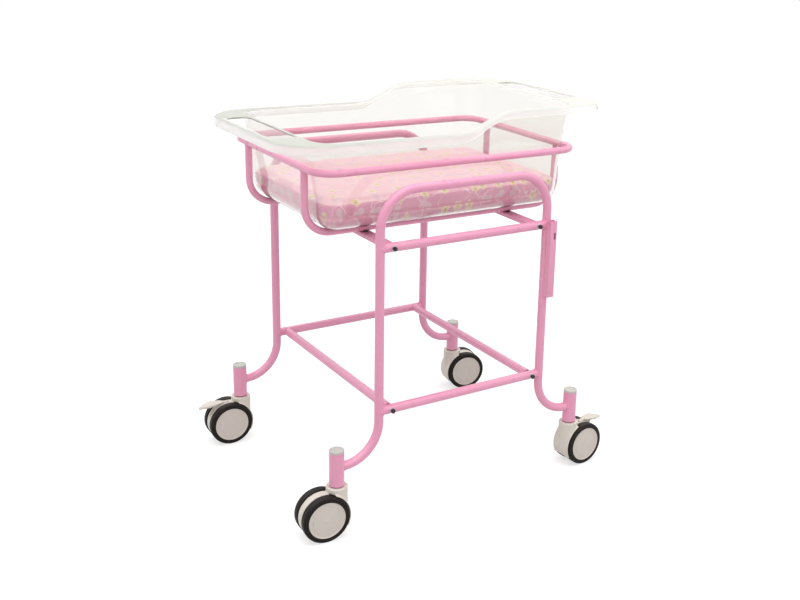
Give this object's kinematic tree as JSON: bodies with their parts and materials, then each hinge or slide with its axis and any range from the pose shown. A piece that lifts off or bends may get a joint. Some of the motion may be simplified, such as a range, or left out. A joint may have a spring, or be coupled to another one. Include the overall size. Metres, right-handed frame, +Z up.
{
  "type": "hospital bassinet cot",
  "caption": "Newborn cot: clear tray with mattress in a tube cradle on two bent-tube arches, with braked twin-wheel swivel casters.",
  "frame": {"origin": "on the floor, under the middle of the frame between the two arches", "axes": "+X to the head end (high rim), +Y away from the side with the pole socket, +Z up"},
  "size_m": [0.8036, 0.5724, 0.8451],
  "materials": {
    "pink_enamel": "gloss powder coat",
    "steel": "zinc plated",
    "black_bolt": "black oxide",
    "grey_plastic": "moulded",
    "black_rubber": "moulded",
    "clear_plastic": "clear, thermoformed",
    "cover_fabric": "printed cotton",
    "foam": "open-cell foam",
    "beige_plastic": "moulded satin",
    "tyre_rubber": "moulded"
  },
  "bodies": {
    "frame": {"front_arch": "pink_enamel", "rear_arch": "pink_enamel", "front_upper_crossbar": "pink_enamel", "rear_upper_crossbar": "pink_enamel", "front_lower_crossbar": "pink_enamel", "rear_lower_crossbar": "pink_enamel", "foot_side_bar": "pink_enamel", "head_side_bar": "pink_enamel", "side_bar_plugs": "steel", "foot_strap": "pink_enamel", "head_strap": "pink_enamel", "lower_bolts": "black_bolt", "upper_bolts": "black_bolt", "saddle_washers": "steel", "cradle_ring": "pink_enamel", "front_cradle_rail": "pink_enamel", "rear_cradle_rail": "pink_enamel", "rail_saddles": "black_rubber", "cradle_screws": "black_bolt", "pole_socket": "pink_enamel", "caster_sockets": "pink_enamel", "socket_caps": "grey_plastic", "caster_stems": "steel", "stem_sleeves": "black_rubber"},
    "tray": {"tray": "clear_plastic"},
    "mattress": {"mattress_cover": "cover_fabric", "mattress_foam": "foam"},
    "caster_foot_rear": {"caster_body_foot_rear": "beige_plastic", "axle_foot_rear": "steel", "brake_pin_foot_rear": "steel"},
    "near_wheel_foot_rear": {"near_hub_foot_rear": "beige_plastic", "near_tyre_foot_rear": "tyre_rubber"},
    "far_wheel_foot_rear": {"far_hub_foot_rear": "beige_plastic", "far_tyre_foot_rear": "tyre_rubber"},
    "pedal_foot_rear": {"brake_pedal_foot_rear": "beige_plastic"},
    "caster_foot_front": {"caster_body_foot_front": "beige_plastic", "axle_foot_front": "steel"},
    "near_wheel_foot_front": {"near_hub_foot_front": "beige_plastic", "near_tyre_foot_front": "tyre_rubber"},
    "far_wheel_foot_front": {"far_hub_foot_front": "beige_plastic", "far_tyre_foot_front": "tyre_rubber"},
    "caster_head_rear": {"caster_body_head_rear": "beige_plastic", "axle_head_rear": "steel"},
    "near_wheel_head_rear": {"near_hub_head_rear": "beige_plastic", "near_tyre_head_rear": "tyre_rubber"},
    "far_wheel_head_rear": {"far_hub_head_rear": "beige_plastic", "far_tyre_head_rear": "tyre_rubber"},
    "caster_head_front": {"caster_body_head_front": "beige_plastic", "axle_head_front": "steel", "brake_pin_head_front": "steel"},
    "near_wheel_head_front": {"near_hub_head_front": "beige_plastic", "near_tyre_head_front": "tyre_rubber"},
    "far_wheel_head_front": {"far_hub_head_front": "beige_plastic", "far_tyre_head_front": "tyre_rubber"},
    "pedal_head_front": {"brake_pedal_head_front": "beige_plastic"}
  },
  "joints": [
    {"name": "tray_lift", "type": "slide", "parent": "frame", "child": "tray", "axis": [0, 0, 1], "range_m": [0, 0.3]},
    {"name": "mattress_lift", "type": "slide", "parent": "tray", "child": "mattress", "axis": [0, 0, 1], "range_m": [0, 0.25]},
    {"name": "swivel_foot_rear", "type": "hinge", "parent": "frame", "child": "caster_foot_rear", "pos_m": [-0.3, 0.255, 0.09], "axis": [0, 0, 1], "continuous": true},
    {"name": "roll_near_foot_rear", "type": "hinge", "parent": "caster_foot_rear", "child": "near_wheel_foot_rear", "pos_m": [-0.33197, 0.2564, 0.05], "axis": [-0.0436, -0.999, 0], "continuous": true},
    {"name": "roll_far_foot_rear", "type": "hinge", "parent": "caster_foot_rear", "child": "far_wheel_foot_rear", "pos_m": [-0.33197, 0.2564, 0.05], "axis": [-0.0436, -0.999, 0], "continuous": true},
    {"name": "brake_foot_rear", "type": "hinge", "parent": "caster_foot_rear", "child": "pedal_foot_rear", "pos_m": [-0.34196, 0.25683, 0.08], "axis": [-0.0436, -0.999, 0], "range_deg": [0, 8]},
    {"name": "swivel_foot_front", "type": "hinge", "parent": "frame", "child": "caster_foot_front", "pos_m": [-0.3, -0.255, 0.09], "axis": [0, 0, 1], "continuous": true},
    {"name": "roll_near_foot_front", "type": "hinge", "parent": "caster_foot_front", "child": "near_wheel_foot_front", "pos_m": [-0.33192, -0.25277, 0.05], "axis": [-0.0698, -0.9976, 0], "continuous": true},
    {"name": "roll_far_foot_front", "type": "hinge", "parent": "caster_foot_front", "child": "far_wheel_foot_front", "pos_m": [-0.33192, -0.25277, 0.05], "axis": [-0.0698, -0.9976, 0], "continuous": true},
    {"name": "swivel_head_rear", "type": "hinge", "parent": "frame", "child": "caster_head_rear", "pos_m": [0.3, 0.255, 0.09], "axis": [0, 0, 1], "continuous": true},
    {"name": "roll_near_head_rear", "type": "hinge", "parent": "caster_head_rear", "child": "near_wheel_head_rear", "pos_m": [0.33151, 0.24944, 0.05], "axis": [0.1736, 0.9848, 0], "continuous": true},
    {"name": "roll_far_head_rear", "type": "hinge", "parent": "caster_head_rear", "child": "far_wheel_head_rear", "pos_m": [0.33151, 0.24944, 0.05], "axis": [0.1736, 0.9848, 0], "continuous": true},
    {"name": "swivel_head_front", "type": "hinge", "parent": "frame", "child": "caster_head_front", "pos_m": [0.3, -0.255, 0.09], "axis": [0, 0, 1], "continuous": true},
    {"name": "roll_near_head_front", "type": "hinge", "parent": "caster_head_front", "child": "near_wheel_head_front", "pos_m": [0.3319, -0.25249, 0.05], "axis": [-0.0785, 0.9969, 0], "continuous": true},
    {"name": "roll_far_head_front", "type": "hinge", "parent": "caster_head_front", "child": "far_wheel_head_front", "pos_m": [0.3319, -0.25249, 0.05], "axis": [-0.0785, 0.9969, 0], "continuous": true},
    {"name": "brake_head_front", "type": "hinge", "parent": "caster_head_front", "child": "pedal_head_front", "pos_m": [0.34187, -0.25171, 0.08], "axis": [-0.0785, 0.9969, 0], "range_deg": [0, 8]}
  ]
}
